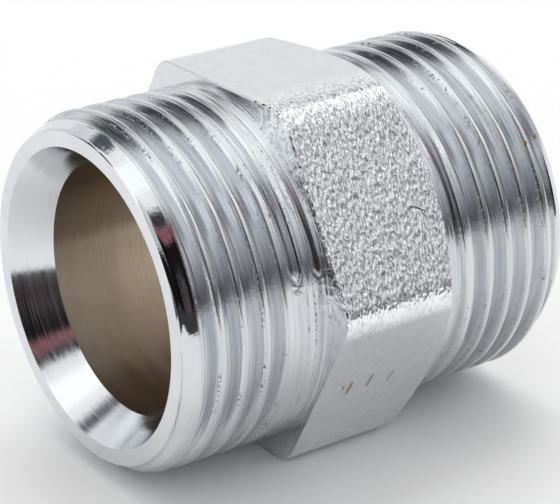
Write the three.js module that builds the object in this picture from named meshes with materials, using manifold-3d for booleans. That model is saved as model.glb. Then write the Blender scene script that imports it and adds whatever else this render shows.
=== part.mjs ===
// Hex nipple, G 3/4 external parallel thread at both ends, one turned and chrome-plated brass body.
// Millimetres, +Z up. X is the bore axis with the front end at -X, and a hexagon flat faces down.
// The body is one piece of metal. It is drawn as its regions of use and finish, which meet face to face.
import * as THREE from 'three';
import { mergeVertices } from 'three/addons/utils/BufferGeometryUtils.js';
import Module from 'manifold-3d';

const wasm = await Module();
wasm.setup();

// Thread, G 3/4: 14 turns per inch, 55 degree flanks
const THREAD_R = 13.2205;
const PITCH = 1.814;
const THREAD_DEPTH = 1.162;
const FLANK = THREE.MathUtils.degToRad(27.5);
const FLAT = PITCH / 6;               // width left at crest and root
const CREST_ANGLE = THREE.MathUtils.degToRad(153);
const FRONT_CREST_X = -12.23;         // a crest of each thread where it passes CREST_ANGLE
const REAR_CREST_X = 11.03;
const FRONT_RUNOUT_X = -7.63;         // where the groove stops beside the hexagon
const REAR_RUNOUT_X = 5.95;
const RUNOUT_TURNS = 0.9;
const RUNOUT_LIFT = 0.85;             // how far the groove has risen where it stops
const CUTTER_OVER = 0.2;

// Body
const HALF_LENGTH = 16.79;
const FACE_R = 12.19;
const LEAD_IN = 1.72;
const NECK_R = 13.0;
const HEX_FRONT_X = -5.1;
const HEX_REAR_X = 5.3;
const HEX_AF = 27;
const HEX_CORNER_R = 2.4;
const HEX_CHAMFER_R = 13.3;           // the corner chamfer starts here on the rear face
const HEX_CHAMFER_SLOPE = 0.7;

// Bore and its two 60 degree seats
const MOUTH_R = 11.0;
const BORE_R = 9.33;
const SEAT_DEPTH = 2.9;
const SEAT_X = HALF_LENGTH - SEAT_DEPTH;

const SEGMENTS = 40;                  // round the axis
const STEP = 2 * Math.PI / SEGMENTS;
const SLIVER = 0.004;                 // slivers thinner than this are merged away after a cut

const chrome = () => new THREE.MeshStandardMaterial({ color: 0xd4d7da, metalness: 1, roughness: 0.16 });
const satinChrome = () => new THREE.MeshStandardMaterial({ color: 0xc6c9cd, metalness: 1, roughness: 0.42 });
const brass = () => new THREE.MeshStandardMaterial({ color: 0x9a8466, metalness: 1, roughness: 0.36 });

// Booleans on closed three.js geometry
function solid(geometry) {
  const g = geometry.clone();
  g.deleteAttribute('normal');
  g.deleteAttribute('uv');
  const m = mergeVertices(g, 1e-5);
  const mesh = new wasm.Mesh({
    numProp: 3,
    vertProperties: new Float32Array(m.attributes.position.array),
    triVerts: new Uint32Array(m.index.array),
  });
  mesh.merge();
  return new wasm.Manifold(mesh);
}

function geometryOf(manifold) {
  const mesh = manifold.getMesh();
  const g = new THREE.BufferGeometry();
  const n = mesh.numProp;
  const xyz = new Float32Array(mesh.vertProperties.length / n * 3);
  for (let i = 0; i < xyz.length / 3; i++) {
    for (let k = 0; k < 3; k++) xyz[3 * i + k] = mesh.vertProperties[n * i + k];
  }
  g.setAttribute('position', new THREE.BufferAttribute(xyz, 3));
  g.setIndex(new THREE.BufferAttribute(new Uint32Array(mesh.triVerts), 1));
  return g;
}

// A ring about X from its section, a list of [x, radius] that runs round the metal and closes on itself
function ring(section, segments = SEGMENTS) {
  const points = [...section, section[0]].map(([x, r]) => new THREE.Vector2(r, x));
  return new THREE.LatheGeometry(points, segments).rotateZ(-Math.PI / 2);
}

// The path of a right-hand groove: x advances one pitch per turn, and the radius rises over the last turn
class Groove extends THREE.Curve {
  constructor(crestX, start, end, lift) {
    super();
    Object.assign(this, { crestX, start, end, lift });
  }
  angle(t) {
    return this.start + (this.end - this.start) * t;
  }
  getPoint(t) {
    const a = this.angle(t);
    const x = this.crestX + PITCH * ((a - CREST_ANGLE) / (2 * Math.PI) + 0.5);
    const r = THREAD_R - THREAD_DEPTH + this.lift(a);
    return new THREE.Vector3(x, r * Math.cos(a), r * Math.sin(a));
  }
  getPointAt(u) {
    return this.getPoint(u);
  }
  computeFrenetFrames(steps) {
    const tangents = [], normals = [], binormals = [];
    for (let i = 0; i <= steps; i++) {
      const a = this.angle(i / steps);
      normals.push(new THREE.Vector3(0, Math.cos(a), Math.sin(a)));
      binormals.push(new THREE.Vector3(-1, 0, 0));
      tangents.push(new THREE.Vector3(0, -Math.sin(a), Math.cos(a)));
    }
    return { tangents, normals, binormals };
  }
}

const angleAt = (crestX, x) => CREST_ANGLE + 2 * Math.PI * ((x - crestX) / PITCH - 0.5);

function grooveCutter(crestX, fromX, toX, runoutX) {
  const [start, end] = [fromX, toX].map((x) => Math.round(angleAt(crestX, x) / STEP) * STEP);
  const runout = angleAt(crestX, runoutX);
  const lift = (a) => {
    const left = Math.min(Math.abs(a - runout) / (2 * Math.PI * RUNOUT_TURNS), 1);
    return RUNOUT_LIFT * (1 - left) ** 2;
  };
  const height = THREAD_DEPTH + CUTTER_OVER;
  const half = FLAT / 2;
  const wide = half + height * Math.tan(FLANK);
  const shape = new THREE.Shape([
    new THREE.Vector2(0, -half),
    new THREE.Vector2(height, -wide),
    new THREE.Vector2(height, wide),
    new THREE.Vector2(0, half),
  ]);
  const steps = Math.round((end - start) / STEP);
  return new THREE.ExtrudeGeometry(shape, {
    steps,
    extrudePath: new Groove(crestX, start, end, lift),
  });
}

// One threaded end, from its face to the hexagon. side is -1 at the front and 1 at the rear.
function threadedEnd(side, hexX, neckEnd, crestX, runoutX) {
  const faceX = side * HALF_LENGTH;
  const section = [
    [hexX, MOUTH_R],
    [faceX, MOUTH_R],
    [faceX, FACE_R],
    [faceX - side * LEAD_IN, THREAD_R],
    [neckEnd + side * 0.2, THREAD_R],
    [neckEnd, NECK_R],
    [hexX, NECK_R],
  ];
  if (side > 0) section.reverse();
  const blank = solid(ring(section));
  const beyond = faceX + side * 1.6;
  const cutter = side < 0
    ? grooveCutter(crestX, beyond, runoutX, runoutX)
    : grooveCutter(crestX, runoutX, beyond, runoutX);
  return geometryOf(blank.subtract(solid(cutter)).asOriginal().simplify(SLIVER));
}

// The hexagon: flats up and down, rounded corners, plane at the front and chamfered at the rear
function hexCollar() {
  const outline = new THREE.Shape();
  const reach = (HEX_AF / 2 - HEX_CORNER_R) / Math.cos(Math.PI / 6);
  for (let k = 0; k < 6; k++) {
    const a = k * Math.PI / 3;
    outline.absarc(reach * Math.cos(a), reach * Math.sin(a), HEX_CORNER_R, a - Math.PI / 6, a + Math.PI / 6);
  }
  const width = HEX_REAR_X - HEX_FRONT_X;
  const prism = new THREE.ExtrudeGeometry(outline, { depth: width, bevelEnabled: false, curveSegments: 4 });
  prism.applyMatrix4(new THREE.Matrix4().makeBasis(
    new THREE.Vector3(0, 1, 0), new THREE.Vector3(0, 0, 1), new THREE.Vector3(1, 0, 0)));
  prism.translate(HEX_FRONT_X, 0, 0);
  const outerR = 20;
  const envelope = ring([
    [HEX_FRONT_X - 1, MOUTH_R],
    [HEX_FRONT_X - 1, outerR],
    [HEX_REAR_X - HEX_CHAMFER_SLOPE * (outerR - HEX_CHAMFER_R), outerR],
    [HEX_REAR_X, HEX_CHAMFER_R],
    [HEX_REAR_X + 1, HEX_CHAMFER_R - 1 / HEX_CHAMFER_SLOPE],
    [HEX_REAR_X + 1, MOUTH_R],
  ], 2 * SEGMENTS);
  const opening = ring([
    [HEX_FRONT_X - 2, 0], [HEX_FRONT_X - 2, MOUTH_R], [HEX_REAR_X + 2, MOUTH_R], [HEX_REAR_X + 2, 0],
  ]);
  return geometryOf(solid(prism).intersect(solid(envelope)).subtract(solid(opening)));
}

// One 60 degree seat: the wedge of metal between the end's mouth and the bore
function coneSeat(side) {
  const section = [
    [side * SEAT_X, MOUTH_R],
    [side * SEAT_X, BORE_R],
    [side * HALF_LENGTH, MOUTH_R],
  ];
  if (side > 0) section.reverse();
  return ring(section);
}

const boreWall = () => ring([
  [-SEAT_X, BORE_R], [-SEAT_X, MOUTH_R], [SEAT_X, MOUTH_R], [SEAT_X, BORE_R],
]);

const nipple = new THREE.Group();
nipple.name = 'hex_nipple';

function add(name, geometry, material) {
  geometry.computeVertexNormals();
  const mesh = new THREE.Mesh(geometry, material);
  mesh.name = name;
  nipple.add(mesh);
}

add('front_threaded_end',
  threadedEnd(-1, HEX_FRONT_X, -5.6, FRONT_CREST_X, FRONT_RUNOUT_X), chrome());
add('rear_threaded_end',
  threadedEnd(1, HEX_REAR_X, 6.1, REAR_CREST_X, REAR_RUNOUT_X), chrome());
add('hex_collar', hexCollar(), satinChrome());
add('front_cone_seat', coneSeat(-1), chrome());
add('rear_cone_seat', coneSeat(1), chrome());
add('bore_wall', boreWall(), brass());

export default nipple;
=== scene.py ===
import math

import bmesh
import bpy
import numpy as np
from mathutils import Matrix, Vector, noise

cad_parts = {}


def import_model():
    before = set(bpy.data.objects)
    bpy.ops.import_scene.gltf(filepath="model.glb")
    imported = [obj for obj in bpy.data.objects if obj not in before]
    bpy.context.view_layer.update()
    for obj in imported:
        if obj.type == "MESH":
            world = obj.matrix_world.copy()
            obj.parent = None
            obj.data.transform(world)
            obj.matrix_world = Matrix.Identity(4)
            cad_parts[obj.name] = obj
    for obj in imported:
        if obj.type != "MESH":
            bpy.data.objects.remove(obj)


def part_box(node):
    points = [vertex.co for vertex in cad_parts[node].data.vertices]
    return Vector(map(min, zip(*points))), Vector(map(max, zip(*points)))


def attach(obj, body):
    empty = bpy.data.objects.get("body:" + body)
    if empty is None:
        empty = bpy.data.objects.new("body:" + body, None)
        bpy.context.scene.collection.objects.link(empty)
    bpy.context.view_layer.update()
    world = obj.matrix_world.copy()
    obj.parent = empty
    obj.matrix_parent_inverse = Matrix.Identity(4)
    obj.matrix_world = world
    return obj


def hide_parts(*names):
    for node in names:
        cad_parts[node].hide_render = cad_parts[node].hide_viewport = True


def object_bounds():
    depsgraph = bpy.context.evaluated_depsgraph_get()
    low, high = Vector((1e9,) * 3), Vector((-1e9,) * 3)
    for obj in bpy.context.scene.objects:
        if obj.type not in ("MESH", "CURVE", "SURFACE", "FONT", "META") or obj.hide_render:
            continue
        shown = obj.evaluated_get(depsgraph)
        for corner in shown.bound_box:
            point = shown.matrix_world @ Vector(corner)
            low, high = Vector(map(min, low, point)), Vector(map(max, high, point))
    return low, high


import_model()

# Hex nipple, G 3/4, chrome-plated brass. X is the bore axis with the front end at -X. Angles run about
# X, from +Y towards +Z. Sizes are in millimetres, and MM turns them into the frame's metres.
MM = 0.001
TURN = 2 * math.pi
FRONT, REAR = -1, 1
cad_low, cad_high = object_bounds()
hex_low, hex_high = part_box("hex_collar")

# ---------------------------------------------------------------- sizes

HALF_LENGTH = round(cad_high.x / MM, 2)
FACE_R = 12.19                  # outside of the end face
LEAD_IN = 1.72                  # length of the chamfer from the face to the full thread

# Thread, G 3/4
THREAD_R = 13.2205
PITCH = 1.814
THREAD_DEPTH = 1.1
FLANK = math.radians(27.5)
CREST_ANGLE = math.radians(153)
CREST_X = {FRONT: -12.23, REAR: 11.03}      # a crest of each thread where it passes CREST_ANGLE
ROOT_HALF = 0.13
ROOT_ROUND = 0.42
CREST_ROUND = 0.16

# Hexagon: plane at the front, corners chamfered at the rear
HEX_X = {FRONT: round(hex_low.x / MM, 2), REAR: round(hex_high.x / MM, 2)}
HEX_AF = round(2 * hex_high.z / MM, 2)
HEX_CORNER_R = 2.4
HEX_CHAMFER_R = 13.3
HEX_CHAMFER_SLOPE = 0.7

# Bore and its two 60 degree seats
MOUTH_R = 11.0
BORE_R = 9.33
SEAT_DEPTH = 2.9
SEAT_X = HALF_LENGTH - SEAT_DEPTH


# ---------------------------------------------------------------- node materials

class Finish:
    """A procedural finish, built node by node. Colours are linear red, green and blue."""

    def __init__(self, name, colour, roughness, metallic=1.0):
        self.material = bpy.data.materials.new(name)
        self.material.use_nodes = True
        self.tree = self.material.node_tree
        self.bsdf = self.tree.nodes["Principled BSDF"]
        self.wire({"Base Color": (*colour, 1), "Roughness": roughness, "Metallic": metallic})

    def put(self, socket, value):
        """Links a node's output to a socket, or sets the socket to a plain value."""
        if isinstance(value, bpy.types.NodeSocket):
            self.tree.links.new(value, socket)
        else:
            socket.default_value = value

    def wire(self, inputs):
        """Puts values into the shader's inputs, by name, and gives the material."""
        for key, value in inputs.items():
            self.put(self.bsdf.inputs[key], value)
        return self.material

    def node(self, kind, inputs=(), **settings):
        n = self.tree.nodes.new(kind)
        for key, value in settings.items():
            setattr(n, key, value)
        for key, value in dict(inputs).items():
            self.put(n.inputs[key], value)
        return n

    def place(self):
        """The point's place in the object, in metres."""
        return self.node("ShaderNodeTexCoord").outputs["Object"]

    def lay(self):
        """The mesh's own coordinates: turns along the thread or round the ring, and how far across."""
        return self.node("ShaderNodeUVMap", uv_map="lay").outputs["UV"]

    def axes(self, vector):
        return self.node("ShaderNodeSeparateXYZ", {"Vector": vector}).outputs

    def field(self, name):
        """A number stored at each point of the mesh."""
        return self.node("ShaderNodeAttribute", attribute_name=name).outputs["Fac"]

    def math(self, operation, *values):
        n = self.node("ShaderNodeMath", operation=operation)
        for socket, value in zip(n.inputs, values):
            self.put(socket, value)
        return n.outputs[0]

    def product(self, first, *others):
        for other in others:
            first = self.math("MULTIPLY", first, other)
        return first

    def vector_math(self, operation, *values):
        n = self.node("ShaderNodeVectorMath", operation=operation)
        for socket, value in zip(n.inputs, values):
            self.put(socket, value)
        return n.outputs["Value" if operation in ("DOT_PRODUCT", "LENGTH") else "Vector"]

    def noise(self, vector, scale=1.0, detail=2.0, rough=0.5, stretch=None):
        if stretch is not None:
            vector = self.vector_math("MULTIPLY", vector, stretch)
        inputs = {"Vector": vector, "Scale": scale, "Detail": detail, "Roughness": rough}
        return self.node("ShaderNodeTexNoise", inputs).outputs["Fac"]

    def remap(self, value, low, high, to_low=0.0, to_high=1.0, smooth=False):
        inputs = {"Value": value, "From Min": low, "From Max": high, "To Min": to_low, "To Max": to_high}
        form = "SMOOTHSTEP" if smooth else "LINEAR"
        return self.node("ShaderNodeMapRange", inputs, interpolation_type=form).outputs["Result"]

    def mix(self, factor, a, b):
        """Colour a where factor is 0 and b where it is 1."""
        n = self.node("ShaderNodeMix", {"Factor": factor}, data_type="RGBA")
        for socket, value in ((n.inputs[6], a), (n.inputs[7], b)):
            self.put(socket, value if isinstance(value, bpy.types.NodeSocket) else (*value, 1))
        return n.outputs[2]

    def bump(self, height, distance, before=None):
        """A normal for this height in millimetres, laid over the normal before it."""
        n = self.node("ShaderNodeBump", {"Height": height, "Distance": distance * MM, "Strength": 1.0})
        if before is not None:
            self.put(n.inputs["Normal"], before)
        return n.outputs["Normal"]

    def mark(self, place, start, end, width, torn):
        """1 within about width of the line from start to end (mm), with a ragged edge, else 0."""
        a, b = Vector(start) * MM, Vector(end) * MM
        from_start = self.vector_math("SUBTRACT", place, a)
        along = self.vector_math("DOT_PRODUCT", from_start, (b - a) / (b - a).length_squared)
        t = self.node("ShaderNodeClamp", {"Value": along}).outputs[0]
        spread = self.node("ShaderNodeCombineXYZ", {"X": t, "Y": t, "Z": t}).outputs[0]
        from_line = self.vector_math("MULTIPLY_ADD", a - b, spread, from_start)
        away = self.vector_math("LENGTH", from_line)
        ragged = self.math("MULTIPLY_ADD", torn, width * MM, away)
        return self.remap(ragged, 1.5 * width * MM, 1.0 * width * MM, smooth=True)


CHROME = (0.75, 0.765, 0.785)
DULL_CHROME = (0.69, 0.71, 0.74)
TOOL_LINE = (0.44, 0.46, 0.50)
PIT = (0.22, 0.22, 0.24)

# painted light: the smooth flats are darker and the grainy flats lighter, standing in for how much light
# each flat catches
SHADED_SMOOTH_FLATS = (0.70, 0.715, 0.735)
LIT_GRAINY_FLATS = (0.98, 0.99, 1.0)
# painted shade for the hollows of the forging grain
PAINTED_HOLLOW_SHADE = (0.26, 0.27, 0.31)
FORGED_PATCH = (0.62, 0.625, 0.67)

BRASS = (0.89, 0.81, 0.71)
THINLY_PLATED = (0.84, 0.81, 0.77)
# painted shade for the top and bottom of the bore
BORE_PAINTED_SHADE = (0.38, 0.32, 0.27)
CLOUDY_BRASS = (0.62, 0.53, 0.42)
DRILL_LINE = (0.48, 0.42, 0.36)

CREST_EDGE = 0.17               # from the middle of a crest to its edge, in pitches
LEAD_IN_MARKS = 0.12            # how much of the thread's tool marks is left towards the end face
TORN_SCALE = 5000.0             # noise that makes the edge of a worn place ragged

# Worn places on the flats: the flat, (x, height up the flat from its middle) where the mark starts and
# ends, half width, and the colour laid bare
FRONT_LOWER, FRONT_UPPER = 210, 150         # the way each flat faces, in degrees
SCUFFS = (
    (FRONT_LOWER, (-2.55, -0.30), (-2.50, 0.75), 0.19, (0.42, 0.28, 0.15)),
    (FRONT_LOWER, (-0.80, -0.20), (-0.70, 0.95), 0.14, (0.36, 0.33, 0.28)),
    (FRONT_LOWER, (1.15, -0.40), (1.30, 0.50), 0.14, (0.54, 0.48, 0.46)),
    (FRONT_LOWER, (-3.15, 0.25), (-3.15, 0.65), 0.11, (0.36, 0.32, 0.26)),
    (FRONT_UPPER, (2.70, -0.75), (3.30, -1.00), 0.075, (0.08, 0.08, 0.09)),
    (FRONT_UPPER, (3.30, -1.00), (3.75, -1.35), 0.075, (0.08, 0.08, 0.09)),
    (FRONT_UPPER, (0.80, -4.15), (0.80, -3.90), 0.09, (0.50, 0.42, 0.34)),
    (FRONT_UPPER, (0.00, -6.55), (0.00, -6.40), 0.10, (0.50, 0.38, 0.24)),
)
# The same on the rear thread, with (x, degrees round the axis, radius) where the mark starts and ends
THREAD_SCUFFS = (
    ((14.40, 144.5, 13.17), (14.50, 143.8, 13.17), 0.16, (0.52, 0.33, 0.12)),
    ((15.90, 142.7, 12.65), (16.00, 141.9, 12.65), 0.16, (0.46, 0.32, 0.15)),
)


def on_flat(facing, x, height):
    """A point on the flat of the hexagon that faces this way."""
    a = math.radians(facing)
    out = HEX_AF / 2
    return x, out * math.cos(a) + height * math.sin(a), out * math.sin(a) - height * math.cos(a)


def on_thread(x, angle, r):
    a = math.radians(angle)
    return x, r * math.cos(a), r * math.sin(a)


def thread_chrome(name):
    """Bright plating with tool lines that run along the thread and small torn pits at its crests."""
    f = Finish(name, CHROME, 0.12)
    lay, place = f.lay(), f.place()
    from_middle = f.math("ABSOLUTE", f.axes(place)["X"])
    threaded = f.remap(from_middle, 15.5 * MM, 15.9 * MM, 1.0, LEAD_IN_MARKS, smooth=True)

    fine = f.noise(lay, 1.0, 3.0, 0.65, stretch=(4.0, 13.0, 0))
    broad = f.noise(lay, stretch=(9.0, 5.0, 0))
    chatter = f.noise(lay, 1.0, 1.0, stretch=(420.0, 5.0, 0))
    grit = f.noise(place, 5200.0)
    # pits lie on both edges of the crest, in runs
    from_crest = f.math("PINGPONG", f.axes(lay)["Y"], 0.5)
    off_edge = f.math("ABSOLUTE", f.math("SUBTRACT", from_crest, CREST_EDGE))
    edge = f.remap(off_edge, 0.02, 0.07, 1.0, 0.0, smooth=True)
    torn = f.remap(f.noise(place, 4600.0, 2.0, 0.7), 0.56, 0.665, smooth=True)
    runs = f.remap(f.noise(place, 330.0), 0.455, 0.59, smooth=True)
    pits = f.product(edge, torn, runs, threaded)

    normal = f.bump(f.product(fine, threaded), 0.03)
    normal = f.bump(f.product(broad, threaded), 0.02, normal)
    normal = f.bump(chatter, 0.003, normal)
    normal = f.bump(grit, 0.0025, normal)
    normal = f.bump(pits, -0.03, normal)

    patch = f.noise(place, 260.0, 3.0)
    haze = f.remap(patch, 0.3, 0.7, 0.14, 0.21)
    roughness = f.product(haze, f.remap(threaded, LEAD_IN_MARKS, 1.0, 0.45, 1.0))

    tint = f.mix(f.remap(patch, 0.35, 0.65), DULL_CHROME, CHROME)
    lines = f.remap(fine, 0.38, 0.62, 1.0, 0.0, smooth=True)
    tint = f.mix(f.product(lines, threaded, 0.42), tint, TOOL_LINE)
    tint = f.mix(pits, tint, PIT)
    ragged = f.noise(place, TORN_SCALE)
    for start, end, width, colour in THREAD_SCUFFS:
        worn = f.mark(place, on_thread(*start), on_thread(*end), width, ragged)
        tint = f.mix(worn, tint, colour)
    return f.wire({"Base Color": tint, "Roughness": roughness, "Normal": normal})


def forged_chrome(name):
    """Plating over forging grain, which is as strong as the mesh's own grain. Painted shade darkens the
    grain's hollows, and painted light makes the grainy flats lighter than the smooth ones.
    """
    f = Finish(name, CHROME, 0.14)
    place = f.place()
    relief, coarse = f.field("relief"), f.field("coarse")
    grain = f.noise(place, 4300.0, stretch=(1.35, 0.5, 0.5))
    broad = f.noise(place, 900.0)
    normal = f.bump(f.product(grain, coarse), 0.09)
    normal = f.bump(broad, 0.02, normal)

    # painted light: each flat is lighter where its grain is strong and darker where it is weak; the grain
    # strength itself is real
    tint = f.mix(f.remap(coarse, 0.1, 1.0), SHADED_SMOOTH_FLATS, LIT_GRAINY_FLATS)
    # painted shade: darker where the mesh's grain and the shader's grain are low, standing in for the shade
    # in the grain's hollows
    painted_relief_shade = f.product(f.remap(relief, 0.42, 0.18, smooth=True), f.remap(grain, 0.62, 0.42, smooth=True))
    tint = f.mix(f.product(painted_relief_shade, 0.35), tint, PAINTED_HOLLOW_SHADE)
    painted_grain_shade = f.product(f.remap(grain, 0.50, 0.36, smooth=True), coarse)
    tint = f.mix(f.product(painted_grain_shade, 0.40), tint, PAINTED_HOLLOW_SHADE)
    tint = f.mix(f.remap(broad, 0.40, 0.62, 0.0, 0.20, smooth=True), tint, FORGED_PATCH)
    ragged = f.noise(place, TORN_SCALE)
    for facing, start, end, width, colour in SCUFFS:
        worn = f.mark(place, on_flat(facing, *start), on_flat(facing, *end), width, ragged)
        tint = f.mix(worn, tint, colour)
        normal = f.bump(worn, -0.02, normal)
    roughness = f.remap(broad, 0.3, 0.7, 0.10, 0.18)
    return f.wire({"Base Color": tint, "Roughness": roughness, "Normal": normal})


def seat_chrome(name):
    """Bright plating with fine turning lines."""
    f = Finish(name, CHROME, 0.12)
    lay = f.lay()
    fine = f.noise(lay, 1.0, 3.0, 0.6, stretch=(3.0, 9.0, 0))
    broad = f.noise(lay, stretch=(5.0, 2.0, 0))
    roughness = f.remap(broad, 0.3, 0.7, 0.08, 0.18)
    return f.wire({"Roughness": roughness, "Normal": f.bump(fine, 0.008)})


def bare_brass(name):
    """Drilled brass with painted shade along its top and bottom, and a thin plating that fades inwards."""
    f = Finish(name, BRASS, 0.34)
    lay, place = f.lay(), f.place()
    axes = f.axes(place)
    fine = f.noise(lay, 1.0, 3.0, 0.6, stretch=(2.0, 4.0, 0))
    broad = f.noise(lay, 1.0, 3.0, stretch=(6.0, 0.5, 0))

    # painted shade: the bore is darker along its top and bottom, and more so on its far side, standing in
    # for the shade and dark reflections there
    wander = f.math("MULTIPLY_ADD", broad, 2.0 * MM, axes["Z"])
    upper = f.remap(wander, 0.9 * MM, 2.0 * MM, smooth=True)
    top = f.remap(wander, 3.0 * MM, 7.0 * MM, 0.0, 0.5, smooth=True)
    lower = f.remap(wander, -6.6 * MM, -8.4 * MM, smooth=True)
    far_side = f.remap(axes["Y"], -3.0 * MM, 3.0 * MM, 0.0, 0.5, smooth=True)
    painted_shade = f.math("MAXIMUM", f.math("MULTIPLY_ADD", upper, far_side, top), lower)

    plated = f.remap(f.math("ABSOLUTE", axes["X"]), 9.0 * MM, 13.5 * MM, smooth=True)
    tint = f.mix(plated, BRASS, THINLY_PLATED)
    tint = f.mix(painted_shade, tint, BORE_PAINTED_SHADE)
    cloud = f.remap(f.noise(place, 300.0, 3.0, 0.6), 0.35, 0.68, smooth=True)
    tint = f.mix(f.product(cloud, 0.25), tint, CLOUDY_BRASS)
    drilled = f.remap(f.noise(lay, 1.0, 3.0, 0.7, stretch=(1.5, 2.6, 0)), 0.42, 0.62, smooth=True)
    tint = f.mix(f.product(drilled, 0.16), tint, DRILL_LINE)
    roughness = f.remap(broad, 0.3, 0.7, 0.28, 0.40)
    return f.wire({"Base Color": tint, "Roughness": roughness, "Normal": f.bump(fine, 0.006)})


# ---------------------------------------------------------------- mesh helpers

def soft_min(a, b, k):
    """The smaller of two, with the corner where they cross rounded over a width k."""
    h = np.clip(0.5 + 0.5 * (b - a) / k, 0, 1)
    return b + (a - b) * h - k * h * (1 - h)


def soft_max(a, b, k):
    return -soft_min(-a, -b, k)


def step(x, low, high):
    """0 below low, 1 above high, and smooth between them."""
    t = np.clip((x - low) / (high - low), 0, 1)
    return t * t * (3 - 2 * t)


class Builder:
    """Collects points (mm), faces and corner coordinates for one closed mesh."""

    def __init__(self):
        self.blocks, self.faces, self.uv = [], [], []
        self.count = 0

    def points(self, x, y, z):
        """Adds points and gives their numbers."""
        block = np.stack(np.broadcast_arrays(x, y, z), -1).reshape(-1, 3)
        first = self.count
        self.blocks.append(block)
        self.count += len(block)
        return np.arange(first, self.count)

    def round_points(self, x, r, angle):
        return self.points(x, r * np.cos(angle), r * np.sin(angle))

    def quads(self, ids, u, v):
        """Faces over a grid of point numbers; corners that share a point are dropped."""
        def corners(grid):
            four = [grid[:-1, :-1], grid[1:, :-1], grid[1:, 1:], grid[:-1, 1:]]
            return np.stack(four, -1).reshape(-1, 4).tolist()

        for four, us, vs in zip(corners(ids), corners(u), corners(v)):
            keep = [k for k in range(4) if four[k] != four[k - 1]]
            if len(keep) >= 3:
                self.faces.append([four[k] for k in keep])
                self.uv.extend((us[k], vs[k]) for k in keep)

    def skin(self, rings, v):
        """Faces from each ring of points to the next, all the way round. v has one value for each ring."""
        grid = np.stack(rings)
        grid = np.concatenate([grid, grid[:, :1]], 1)
        columns = grid.shape[1] - 1
        u = np.broadcast_to(np.arange(columns + 1) / columns, grid.shape)
        self.quads(grid, u, np.broadcast_to(np.asarray(v)[:, None], grid.shape))


def link(name, data):
    """A new object in the scene that holds this mesh, lamp or camera."""
    obj = bpy.data.objects.new(name, data)
    bpy.context.collection.objects.link(obj)
    return obj


def face_outwards(mesh):
    bm = bmesh.new()
    bm.from_mesh(mesh)
    bmesh.ops.recalc_face_normals(bm, faces=bm.faces)
    bm.to_mesh(mesh)
    bm.free()


def piece(name, build, material, node, sharp):
    """The built mesh as an object that stands for a CAD node. Edges over sharp degrees stay sharp."""
    mesh = bpy.data.meshes.new(name)
    mesh.from_pydata((np.concatenate(build.blocks) * MM).tolist(), [], build.faces)
    layer = mesh.uv_layers.new(name="lay")
    layer.data.foreach_set("uv", np.asarray(build.uv, dtype=np.float32).ravel())
    mesh.polygons.foreach_set("use_smooth", [True] * len(mesh.polygons))
    mesh.update()
    mesh.set_sharp_from_angle(angle=math.radians(sharp))
    mesh.materials.append(material)
    face_outwards(mesh)
    obj = link(name, mesh)
    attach(obj, "root")
    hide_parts(node)
    return obj


def store(obj, name, values):
    """Keeps one number for each point in the mesh, for its material to read."""
    attribute = obj.data.attributes.new(name, "FLOAT", "POINT")
    attribute.data.foreach_set("value", np.asarray(values, dtype=np.float32))


# ---------------------------------------------------------------- the threaded ends

THREAD_COLUMNS = 640            # round the axis
THREAD_ROWS = 16                # in one pitch
THREAD_SHARP = 48
LEAD_IN_ROUND = 0.10            # rounding where the chamfer meets the thread
RIM_IN = 0.05                   # the small bevel between the face and the chamfer
RIM_SLOPE = 2.2
RIM_ROUND = 0.05
FACE_IN = 0.12                  # how far inside FACE_R the flat of the face starts

# Rings left by the tool beside the hexagon: x, depth, half width
NECK_RINGS = {
    FRONT: ((-6.85, 0.05, 0.06), (-5.6, 0.045, 0.16), (-5.2, 0.05, 0.05)),
    REAR: ((5.5, 0.04, 0.05), (5.85, 0.05, 0.07), (6.05, 0.03, 0.05)),
}

# Spans along the helix, in turns. The front ones are counted from where its groove stops: the groove gets
# shallower and ends, then the tool cuts in once more and ends again.
FRONT_STOP_X = -7.63
FRONT_STOP = (FRONT_STOP_X - CREST_X[FRONT]) / PITCH - 0.5
SHALLOWER, FIRST_END = (-0.7, 0.0), (-0.009, 0.003)
SECOND_START, SECOND_END = (0.72, 0.86), (0.992, 1.003)
REAR_RUNOUT = (-3.55, -2.35)
LIFT = 0.45                     # how much of the depth is lost where the groove gets shallower
SECOND_DEPTH = 0.30

# A burr at each of the two ends: turns past the stop, and height
BURRS = ((0.008, 0.11), (1.004, 0.03))
BURR_TURNS = 0.007
BURR_PITCHES = 0.17
BURR_LUMPS = (700, 9)           # noise cells in a turn and in a pitch


def envelope(side, x):
    """Radius of the turned blank: a lead-in chamfer, then a cylinder with tool rings at the hexagon."""
    from_face = HALF_LENGTH - side * x
    chamfer = FACE_R + from_face * (THREAD_R - FACE_R) / LEAD_IN
    r = soft_min(chamfer, np.full_like(x, THREAD_R), LEAD_IN_ROUND)
    r = soft_min(r, FACE_R - RIM_IN + from_face * RIM_SLOPE, RIM_ROUND)
    for at, depth, half_width in NECK_RINGS[side]:
        r = r - depth * np.exp(-((x - at) / half_width) ** 2)
    return r


def groove_rise(across):
    """Height of the thread form over its root. across goes 0 to 1 from crest to crest."""
    from_root = np.abs(across - 0.5) * PITCH
    flank = (from_root - ROOT_HALF) / math.tan(FLANK)
    return soft_max(flank, np.zeros_like(from_root), ROOT_ROUND)


def past_stop(turn, span):
    """0 to 1 over a span of turns that is counted from the front stop."""
    return step(turn, FRONT_STOP + span[0], FRONT_STOP + span[1])


def runout(side, turn):
    """How much of the groove's depth is cut, 0 to 1, along the helix."""
    if side == REAR:
        return step(turn, *REAR_RUNOUT)
    first = (1 - LIFT * past_stop(turn, SHALLOWER)) * (1 - past_stop(turn, FIRST_END))
    second = SECOND_DEPTH * past_stop(turn, SECOND_START) * (1 - past_stop(turn, SECOND_END))
    return first + second


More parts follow.
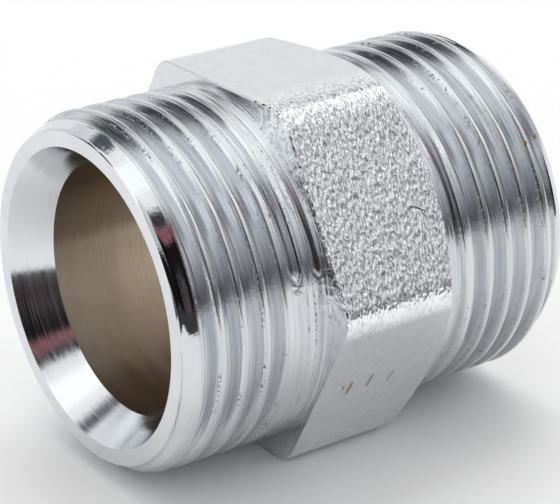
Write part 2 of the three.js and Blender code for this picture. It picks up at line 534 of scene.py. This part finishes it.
def burr_height(turn, across):
    """The metal that the tool pushed up where the front groove stops."""
    total = np.zeros_like(across)
    for after, height in BURRS:
        at = FRONT_STOP + after
        burr = np.exp(-((turn - at) / BURR_TURNS) ** 2 - ((across - 0.5) / BURR_PITCHES) ** 2)
        near = burr > 0.01
        lumps = [0.4 + noise.noise(Vector((a * BURR_LUMPS[0], b * BURR_LUMPS[1], at))) * 1.3
                 for a, b in zip(turn[near], across[near])]
        total[near] += height * burr[near] * lumps
    return total


def thread_skin(build, side, angles):
    """The threaded outside, as a grid that follows the helix. Gives its rings at the low and high x."""
    low, high = sorted((side * HALF_LENGTH, HEX_X[side]))
    first = math.floor((low - CREST_X[side]) / PITCH) - 1
    rows = (math.ceil((high - low) / PITCH) + 3) * THREAD_ROWS
    row = np.arange(rows + 1)[:, None]
    part_turn = np.arange(THREAD_COLUMNS)[None, :] / THREAD_COLUMNS
    x = CREST_X[side] + PITCH * (first + row / THREAD_ROWS + part_turn)
    turn = first + row // THREAD_ROWS + part_turn
    clipped = np.clip(x, low, high)
    across = ((clipped - CREST_X[side]) / PITCH - part_turn) % 1.0
    cut = THREAD_R - THREAD_DEPTH * runout(side, turn) + groove_rise(across)
    r = soft_min(envelope(side, clipped), cut, CREST_ROUND)
    if side == FRONT:
        r = r + burr_height(turn, across)

    # points past either end are moved onto the ring there
    inside = (x > low) & (x < high)
    ids = np.zeros(x.shape, int)
    ids[inside] = build.round_points(x[inside], r[inside], np.broadcast_to(angles, x.shape)[inside])
    column = np.arange(THREAD_COLUMNS)
    low_ring = build.round_points(low, r[np.argmax(x > low, axis=0) - 1, column], angles)
    high_ring = build.round_points(high, r[np.argmax(x >= high, axis=0), column], angles)
    ids = np.where(x <= low, low_ring, ids)
    ids = np.where(x >= high, high_ring, ids)

    # one turn on, a column meets the first one a pitch further along
    past_end = np.repeat(high_ring[:1][None, :], THREAD_ROWS, 0)
    grid = np.concatenate([ids, np.concatenate([ids[THREAD_ROWS:, :1], past_end])], 1)
    turned = np.arange(THREAD_COLUMNS + 1)[None, :] / THREAD_COLUMNS
    for top in range(0, rows, THREAD_ROWS):
        band = grid[top:top + THREAD_ROWS + 1]
        u = np.broadcast_to(first + top / THREAD_ROWS + turned, band.shape)
        v = np.broadcast_to(np.arange(THREAD_ROWS + 1)[:, None] / THREAD_ROWS, band.shape)
        build.quads(band, u, v)
    return low_ring, high_ring


def threaded_end(name, side, material, node):
    """A thread with its end face, hollow up to the hexagon."""
    build = Builder()
    angles = CREST_ANGLE + TURN * np.arange(THREAD_COLUMNS) / THREAD_COLUMNS
    low_ring, high_ring = thread_skin(build, side, angles)
    at_face, at_hex = (low_ring, high_ring) if side == FRONT else (high_ring, low_ring)
    face_x, hex_x = side * HALF_LENGTH, HEX_X[side]
    width = FACE_R - FACE_IN - MOUTH_R
    section = [(face_x, MOUTH_R + width * (1 - t)) for t in np.linspace(0.05, 1, 9)]
    section += [(face_x + (hex_x - face_x) * t, MOUTH_R) for t in np.linspace(0, 1, 12)[1:]]
    rings = [at_face] + [build.round_points(x, r, angles) for x, r in section] + [at_hex]
    build.skin(rings, np.arange(len(rings)) * 0.3)
    piece(name, build, material, node, THREAD_SHARP)


# ---------------------------------------------------------------- the hexagon

HEX_COLUMNS = 760
HEX_ROWS = 112
HEX_SHARP = 40
HEX_BEVEL = 0.12                # small bevel round the front face
RAGGED_RIM = 0.08               # how far the grain moves the rim of the front face in and out
SUNK_RIM = 0.05                 # and how far it sinks it
RIM_LUMPS = 4                   # noise cells in a millimetre of the rim
GRAIN_HEIGHT = 0.052
GRAIN_CELL = 0.17
GRAIN_SQUEEZE = (1.3, 0.52, 0.52)           # the cells are shorter along X than round the hexagon

# How strong the forging grain is on each flat, from +Y towards +Z. The second one faces up.
GRAIN = (0.2, 0.12, 1.1, 0.32, 0.2, 1.1)
# Where it changes, in degrees from the corner between two flats
GRAIN_RISES, GRAIN_FALLS = (-16, -2), (-5, 6)


def hex_outline():
    """Points (y, z) evenly along the rounded hexagon and the outward direction at each, from a corner on."""
    to_centre = (HEX_AF / 2 - HEX_CORNER_R) / math.cos(math.pi / 6)
    arc = HEX_CORNER_R * math.pi / 3
    side = to_centre + arc
    outline = []
    for s in np.arange(HEX_COLUMNS) / HEX_COLUMNS * 6 * side:
        corner, along = divmod(s + arc / 2, side)
        a = corner * math.pi / 3
        centre = np.array([to_centre * math.cos(a), to_centre * math.sin(a)])
        facing = a - math.pi / 6 + min(along, arc) / HEX_CORNER_R
        normal = np.array([math.cos(facing), math.sin(facing)])
        tangent = np.array([-normal[1], normal[0]])
        point = centre + HEX_CORNER_R * normal + tangent * max(along - arc, 0)
        outline.append((*point, *normal))
    return np.array(outline).T


def grain_strength(angle):
    """How strong the forging grain is at this angle round the axis."""
    knots = []
    for k in range(-1, 8):
        before, after = GRAIN[(k - 1) % 6], GRAIN[k % 6]
        starts, ends = GRAIN_RISES if after > before else GRAIN_FALLS
        knots += [(60 * k + starts, before), (60 * k + ends, after)]
    return np.interp(np.degrees(angle % TURN), *zip(*knots))


def grain_noise(x, y, z):
    """Two octaves of noise, each from a place of its own in the noise field."""
    place = Vector([p * squeeze for p, squeeze in zip((x, y, z), GRAIN_SQUEEZE)]) / GRAIN_CELL
    coarse = noise.noise(place + Vector((0, 5.1, 9.7)))
    fine = noise.noise(place * 2 + Vector((17.3, 5.1, 9.7)))
    return coarse + 0.5 * fine


def hexagon(name, material, node):
    """The spanner hexagon, as rings that go out over the front face, back along the flats and inside."""
    y, z, out_y, out_z = hex_outline()
    rho = np.hypot(y, z)
    angle = np.arctan2(z, y)
    coarse = grain_strength(angle)
    front_x, rear_x = HEX_X[FRONT], HEX_X[REAR]
    build = Builder()
    rings, relief = [], []

    def add(ring, raised=0.0):
        rings.append(ring)
        relief.append(np.full(HEX_COLUMNS, 0.5) + raised)

    # the front face, whose rim is ragged where there is grain
    add(build.round_points(front_x, MOUTH_R, angle))
    for t in (0.35, 0.7, 0.9):
        add(build.round_points(front_x, MOUTH_R + (rho - HEX_BEVEL - MOUTH_R) * t, angle))
    rim = [noise.noise(Vector((a * RIM_LUMPS, b * RIM_LUMPS, 2.5))) for a, b in zip(y, z)] * coarse
    add(build.round_points(front_x + SUNK_RIM * np.abs(rim), rho - HEX_BEVEL + RAGGED_RIM * rim, angle))
    # the flats, with the grain fading out at both ends
    flats_start = front_x + HEX_BEVEL
    flats_end = rear_x - HEX_CHAMFER_SLOPE * (rho - HEX_CHAMFER_R)
    for t in np.linspace(0, 1, HEX_ROWS):
        x = flats_start + (flats_end - flats_start) * t
        edge = min(1.0, 0.4 + t * 25, (1 - t) * 20)
        grain = np.array([grain_noise(*place) for place in zip(x, y, z)]) * coarse
        raised = grain * GRAIN_HEIGHT * edge
        add(build.points(x, y + out_y * raised, z + out_z * raised), grain * edge)
    # the chamfer, the rear face and the inside
    for t in (0.25, 0.5, 0.75, 1.0):
        r = rho + (HEX_CHAMFER_R - rho) * t
        add(build.round_points(rear_x - HEX_CHAMFER_SLOPE * (r - HEX_CHAMFER_R), r, angle))
    for t in (0.5, 1.0):
        add(build.round_points(rear_x, HEX_CHAMFER_R + (MOUTH_R - HEX_CHAMFER_R) * t, angle))
    for t in (0.75, 0.5, 0.25):
        add(build.round_points(front_x + (rear_x - front_x) * t, MOUTH_R, angle))

    build.skin(rings + rings[:1], np.arange(len(rings) + 1) * 0.1)
    obj = piece(name, build, material, node, HEX_SHARP)
    # relief is the grain's height, which the material also uses to paint shade into the hollows
    store(obj, "relief", np.concatenate(relief))
    store(obj, "coarse", np.tile(coarse, len(rings)))


# ---------------------------------------------------------------- the seats and the bore

LATHE_COLUMNS = 360
LATHE_SHARP = 30
SEAT_MARK = 0.006               # height of the turning marks
BORE_MARK = 0.004


def lathe(name, section, material, node):
    """A closed ring about X from (x, r) points that run round the metal."""
    angles = TURN * np.arange(LATHE_COLUMNS) / LATHE_COLUMNS
    build = Builder()
    rings = [build.round_points(x, r, angles) for x, r in section]
    closed = section + section[:1]
    lengths = [math.dist(a, b) for a, b in zip(closed, closed[1:])]
    build.skin(rings + rings[:1], np.cumsum([0.0] + lengths))
    piece(name, build, material, node, LATHE_SHARP)


def cone_seat(name, side, material, node):
    """The sealing cone in one mouth, with faint turning marks."""
    face, inner = side * HALF_LENGTH, side * SEAT_X
    section = []
    for t in np.linspace(0, 1, 36):
        mark = SEAT_MARK * noise.noise(Vector((t * 60, side * 3.1, 0))) * math.sin(math.pi * t)
        section.append((face + (inner - face) * t, MOUTH_R + (BORE_R - MOUTH_R) * t + mark))
    section += [(inner, r) for r in np.linspace(BORE_R, MOUTH_R, 5)[1:]]
    section += [(inner + (face - inner) * t, MOUTH_R) for t in (0.33, 0.66)]
    lathe(name, section, material, node)


def bore(name, material, node):
    """The drilled bore between the two cones, with faint marks of the drill."""
    section = []
    for t in np.linspace(0, 1, 120):
        x = -SEAT_X + 2 * SEAT_X * t
        mark = BORE_MARK * noise.noise(Vector((x * 4.0, 7.7, 0)))
        section.append((x, BORE_R + mark * min(1, 20 * t, 20 * (1 - t))))
    section += [(SEAT_X - 2 * SEAT_X * t, MOUTH_R) for t in np.linspace(0, 1, 12)]
    lathe(name, section, material, node)


chrome = thread_chrome("bright_chrome_plating")
seat = seat_chrome("turned_seat_plating")
threaded_end("front_thread", FRONT, chrome, "front_threaded_end")
threaded_end("rear_thread", REAR, chrome, "rear_threaded_end")
hexagon("spanner_hexagon", forged_chrome("forged_satin_plating"), "hex_collar")
cone_seat("front_seat", FRONT, seat, "front_cone_seat")
cone_seat("rear_seat", REAR, seat, "rear_cone_seat")
bore("bore", bare_brass("bare_bore_brass"), "bore_wall")


# ---------------------------------------------------------------- floor, light and camera

WORLD_STRENGTH = 0.80
LAMP_ENERGY = 0.92
LAMP_SOFTNESS = 50              # degrees across
LAMP_FROM = (150, 60)           # azimuth and elevation
FLOOR_HALF = 3000
FLOOR_Z = -HEX_AF / 2 - 0.1
PAPER = (0.93, 0.93, 0.93)
CLOTH_Z = FLOOR_Z + 0.2
CLOTH_COLOUR = (0.012, 0.011, 0.011)
MATT = 0.9
SURROUND_R = 2500
CAMERA_AT = (-94.259, -134.252, 68.336)
CAMERA_AIM = (-0.153, -0.191, -0.580)
CAMERA_ROLL = -0.9865           # degrees
CAMERA_LENS = 154.286

WHITE = (0.97, 0.97, 0.97)      # what the surround sends where there is no panel
# What stands round the table: (azimuth range, elevation range, light it sends, edge softness in degrees).
# Azimuth 0 is towards -Y and 90 towards +X. Later panels lie over earlier ones.
PANELS = (
    # softboxes: overhead, two brighter patches in it, and one on the left
    ((-181, 181), (52, 91), (1.06, 1.08, 1.07), 5),
    ((-128, -78), (54, 80), (1.30, 1.33, 1.32), 8),
    ((66, 128), (44, 78), (1.28, 1.31, 1.30), 8),
    ((-121, -90), (8, 55), (1.30, 1.33, 1.32), 6),
    # the room behind the table
    ((-181, -157), (-10, 40), (0.82, 0.83, 0.85), 8),
    ((135, 181), (33, 52), (0.19, 0.205, 0.23), 7),
    ((-176, -150), (44, 61), (0.10, 0.11, 0.13), 6),
    ((-151, -122), (9, 39), (0.035, 0.04, 0.05), 4),
    ((92, 118), (-14, 9), (0.52, 0.53, 0.54), 7),
    # the darker room in front of the table, rising to the light on the left and on the right
    ((-88, -4), (36, 55), (0.78, 0.79, 0.80), 8),
    ((-90, -4), (22, 40), (0.62, 0.63, 0.65), 8),
    ((-91, -4), (12, 25), (0.50, 0.51, 0.54), 8),
    ((-6, 64), (31, 55), (0.98, 0.99, 0.99), 7),
    ((-8, 36), (43, 68), (0.36, 0.37, 0.40), 7),
    ((45, 68), (35, 54), (1.75, 1.76, 1.76), 5),
    ((-6, 66), (22, 32), (0.66, 0.67, 0.685), 7),
    ((-6, 68), (12, 24), (0.41, 0.41, 0.435), 7),
    ((54, 70), (22, 33.5), (0.36, 0.37, 0.40), 5),
    ((68, 108), (12, 42), (0.26, 0.27, 0.29), 6),
    ((-93, -60), (-20, 15), (0.25, 0.255, 0.285), 6),
    ((-60, 75), (-20, 14), (0.128, 0.124, 0.138), 6),
    # the dark camera side, with a red stripe beside it, two above it and a dark one over them
    ((-62, -33), (-20, 41), (0.007, 0.006, 0.007), 2),
    ((-33, -26), (-20, 41), (0.10, 0.068, 0.070), 4),
    ((-64, -42), (38.5, 46), (0.27, 0.10, 0.11), 2),
    ((-42, -28), (38.5, 46), (0.34, 0.19, 0.21), 2),
    ((-62, -28), (46, 55), (0.030, 0.032, 0.040), 2),
)
# A dark cloth on the table between the nipple and the camera: azimuth, and how far from the middle it
# begins. CLOTH_DEPTHS are its rows of points, counted from there.
CLOTH = ((-75, 120), (-50, 90), (-24, 90))
CLOTH_DEPTHS = (0, 300, 2400)


def direction(azimuth, elevation):
    """Unit vectors for angles in degrees."""
    a, e = np.radians(azimuth), np.radians(elevation)
    return np.stack(np.broadcast_arrays(np.sin(a) * np.cos(e), -np.cos(a) * np.cos(e), np.sin(e)), -1)


def sheet(name, points, material):
    """An open surface over a grid of points, which isn't part of the object."""
    rows, columns = points.shape[:2]
    i, j = np.meshgrid(np.arange(rows - 1), np.arange(columns - 1), indexing="ij")
    k = i * columns + j
    faces = np.stack([k, k + 1, k + columns + 1, k + columns], -1).reshape(-1, 4)
    mesh = bpy.data.meshes.new(name)
    mesh.from_pydata((points * MM).reshape(-1, 3).tolist(), [], faces.tolist())
    mesh.materials.append(material)
    obj = link(name, mesh)
    return obj


def leave_to_reflections(obj):
    obj.visible_camera = False
    obj.visible_diffuse = False
    obj.visible_shadow = False


def panel_light(azimuth, elevation):
    """What the surround sends from each direction."""
    light = np.ones(azimuth.shape + (3,)) * WHITE
    for azimuths, elevations, colour, soft in PANELS:
        mask = 1.0
        for angle, (start, end) in ((azimuth, azimuths), (elevation, elevations)):
            mask = mask * step(angle, start - soft / 2, start + soft / 2)
            mask = mask * (1 - step(angle, end - soft / 2, end + soft / 2))
        light += (np.array(colour) - light) * mask[..., None]
    return light


def glow(name):
    """A material that sends out the colour stored in the mesh."""
    material = bpy.data.materials.new(name)
    material.use_nodes = True
    tree = material.node_tree
    tree.nodes.clear()
    colour = tree.nodes.new("ShaderNodeVertexColor")
    colour.layer_name = "light"
    emission = tree.nodes.new("ShaderNodeEmission")
    surface = tree.nodes.new("ShaderNodeOutputMaterial")
    tree.links.new(colour.outputs["Color"], emission.inputs["Color"])
    tree.links.new(emission.outputs["Emission"], surface.inputs["Surface"])
    return material


def surround(name):
    """A studio shell with its panels as colours in the mesh."""
    heights = np.concatenate([np.linspace(-4, 60, 129), np.linspace(62, 90, 15)])
    azimuth, elevation = np.meshgrid(np.linspace(-180, 180, 361), heights)
    shell = sheet(name, direction(azimuth, elevation) * SURROUND_R, glow(name))
    light = panel_light(azimuth, elevation)
    rgba = np.concatenate([light, np.ones(light.shape[:2] + (1,))], -1)
    layer = shell.data.color_attributes.new("light", "FLOAT_COLOR", "POINT")
    layer.data.foreach_set("color", rgba.astype(np.float32).ravel())
    leave_to_reflections(shell)


def cloth(name):
    """A dark cloth that darkens the lower reflections on the camera's side."""
    azimuth = np.linspace(CLOTH[0][0], CLOTH[-1][0], 31)
    near = np.interp(azimuth, *zip(*CLOTH))
    away = np.array(CLOTH_DEPTHS)[:, None] + near
    points = direction(azimuth, 0) * away[..., None]
    points[..., 2] = CLOTH_Z
    leave_to_reflections(sheet(name, points, Finish(name, CLOTH_COLOUR, MATT, metallic=0.0).material))


def floor(name):
    x, y = np.meshgrid((-FLOOR_HALF, FLOOR_HALF), (-FLOOR_HALF, FLOOR_HALF))
    points = np.stack([x, y, np.full(x.shape, FLOOR_Z)], -1)
    sheet(name, points, Finish("white_paper", PAPER, MATT, metallic=0.0).material)


def world(name):
    bpy.context.scene.world = bpy.data.worlds.new(name)
    bpy.context.scene.world.use_nodes = True
    background = bpy.context.scene.world.node_tree.nodes["Background"]
    background.inputs["Color"].default_value = (1.0, 1.0, 1.0, 1)
    background.inputs["Strength"].default_value = WORLD_STRENGTH


def soft_lamp(name):
    """A wide lamp from behind, so that the table is a little darker on the camera's side."""
    data = bpy.data.lights.new(name, "SUN")
    data.energy = LAMP_ENERGY
    data.angle = math.radians(LAMP_SOFTNESS)
    lamp = link(name, data)
    towards = Vector(direction(*LAMP_FROM))
    lamp.matrix_world = towards.to_track_quat("Z", "Y").to_matrix().to_4x4()
    lamp.visible_glossy = False


def camera(name):
    data = bpy.data.cameras.new(name)
    data.lens = CAMERA_LENS
    data.sensor_width = 36.0
    data.clip_start = 0.01
    data.clip_end = 20.0
    at, aim = Vector(CAMERA_AT), Vector(CAMERA_AIM)
    looking = (aim - at).to_track_quat("-Z", "Y").to_matrix()
    rolled = looking @ Matrix.Rotation(math.radians(CAMERA_ROLL), 3, "Z")
    obj = link(name, data)
    obj.matrix_world = Matrix.Translation(at * MM) @ rolled.to_4x4()
    bpy.context.scene.camera = obj


world("studio")
soft_lamp("soft_lamp")
floor("floor")
surround("studio_surround")
cloth("dark_cloth")
camera("camera")
bpy.context.scene.view_settings.view_transform = "Standard"
